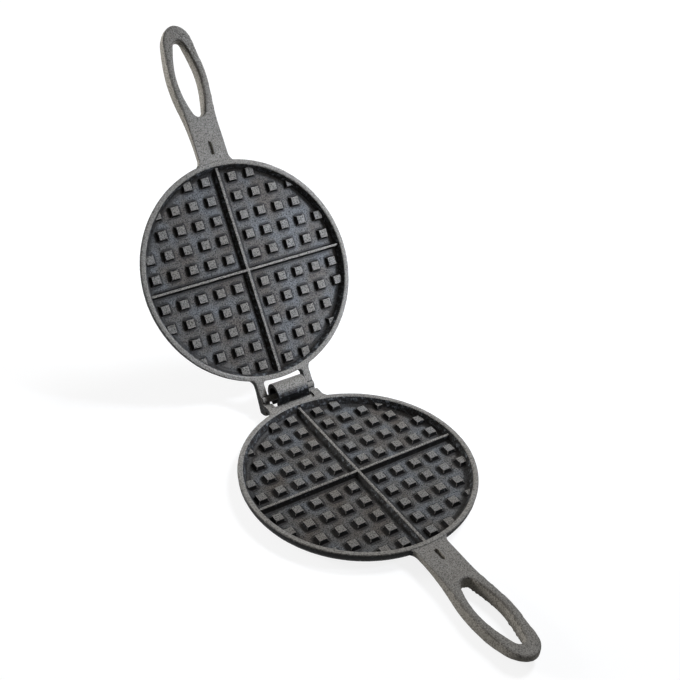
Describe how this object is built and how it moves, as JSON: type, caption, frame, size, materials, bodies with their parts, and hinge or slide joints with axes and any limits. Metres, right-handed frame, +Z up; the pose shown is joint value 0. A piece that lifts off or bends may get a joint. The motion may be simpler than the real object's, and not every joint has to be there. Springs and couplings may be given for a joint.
{
  "type": "stovetop waffle iron",
  "caption": "Round cast-iron stovetop waffle iron, standing open: shallow pans with square pegs and crossed ribs, long slotted handles, and a cast hook hinge with a crossbar.",
  "frame": {"origin": "middle of the flat back of the lower half, where the iron stands on the stove", "axes": "+Z up out of the lower pan, -Y along the lower handle, +Y towards the hinge, +X along the hinge's axis"},
  "size_m": [0.196, 0.5436, 0.2741],
  "materials": {
    "iron": "matt sand-cast, bare"
  },
  "bodies": {
    "lower": {"lower_half": "iron"},
    "upper": {"upper_half": "iron"}
  },
  "joints": [
    {"name": "hinge", "type": "hinge", "parent": "lower", "child": "upper", "pos_m": [0, 0.112, 0.014], "axis": [1, 0, 0], "range_deg": [0, 128.5]}
  ]
}
